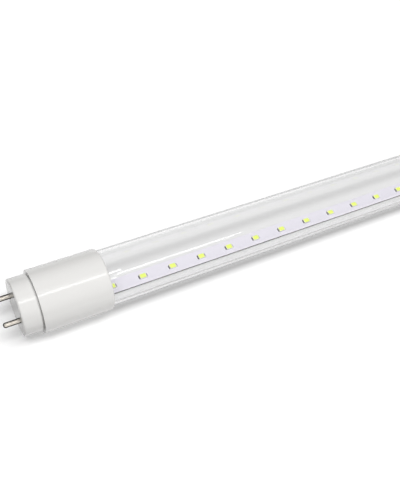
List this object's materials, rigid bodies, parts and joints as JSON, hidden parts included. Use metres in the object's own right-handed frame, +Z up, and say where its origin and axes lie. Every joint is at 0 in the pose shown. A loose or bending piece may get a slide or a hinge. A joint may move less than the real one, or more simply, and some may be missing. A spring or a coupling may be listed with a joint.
{
  "type": "led tube",
  "caption": "Straight clear glass LED tube with a strip of LEDs along its inside and a white two-pin cap on each end.",
  "frame": {"origin": "on the tube's axis, halfway between the two ends; also the centre of the whole lamp's box", "axes": "+X along the tube, towards the far cap; +Z up, the way the light strip faces; Y across, along the line of each pin pair"},
  "size_m": [0.6032, 0.0284, 0.0286],
  "materials": {
    "clear_glass": "clear drawn soda-lime glass",
    "white_cap": "white moulded polycarbonate, glossy",
    "pin_plating": "nickel-plated brass, bright",
    "white_mask": "laminate under white solder mask",
    "led_housing": "white moulded LED housing",
    "phosphor": "yellow phosphor in silicone",
    "solder": "tin solder, dull",
    "silicone": "translucent white silicone",
    "driver_laminate": "glass-epoxy laminate under green mask",
    "capacitor_sleeve": "dark shrink sleeve on an aluminium can",
    "ferrite": "sintered ferrite",
    "magnet_wire": "enamelled copper wire",
    "film_case": "yellow moulded case",
    "resistor_body": "ceramic under a green coat",
    "chip_epoxy": "black moulding epoxy",
    "lead_metal": "tinned steel",
    "wire_jacket": "white wire jacket"
  },
  "bodies": {
    "root": {"glass_tube": "clear_glass", "near_sleeve": "white_cap", "near_base": "white_cap", "far_sleeve": "white_cap", "far_base": "white_cap", "near_pin_front": "pin_plating", "near_pin_back": "pin_plating", "far_pin_front": "pin_plating", "far_pin_back": "pin_plating", "near_glue": "silicone", "far_glue": "silicone", "board_adhesive": "silicone", "led_board": "white_mask", "led_housings": "led_housing", "led_phosphors": "phosphor", "led_solder": "solder", "driver_board": "driver_laminate", "bulk_capacitor": "capacitor_sleeve", "choke_core": "ferrite", "choke_winding": "magnet_wire", "film_capacitor": "film_case", "fuse_resistor": "resistor_body", "bridge_rectifier": "chip_epoxy", "control_chip": "chip_epoxy", "diode": "chip_epoxy", "link_pins": "lead_metal", "supply_wire_front": "wire_jacket", "supply_wire_back": "wire_jacket", "far_fuse_link": "resistor_body"}
  },
  "joints": []
}
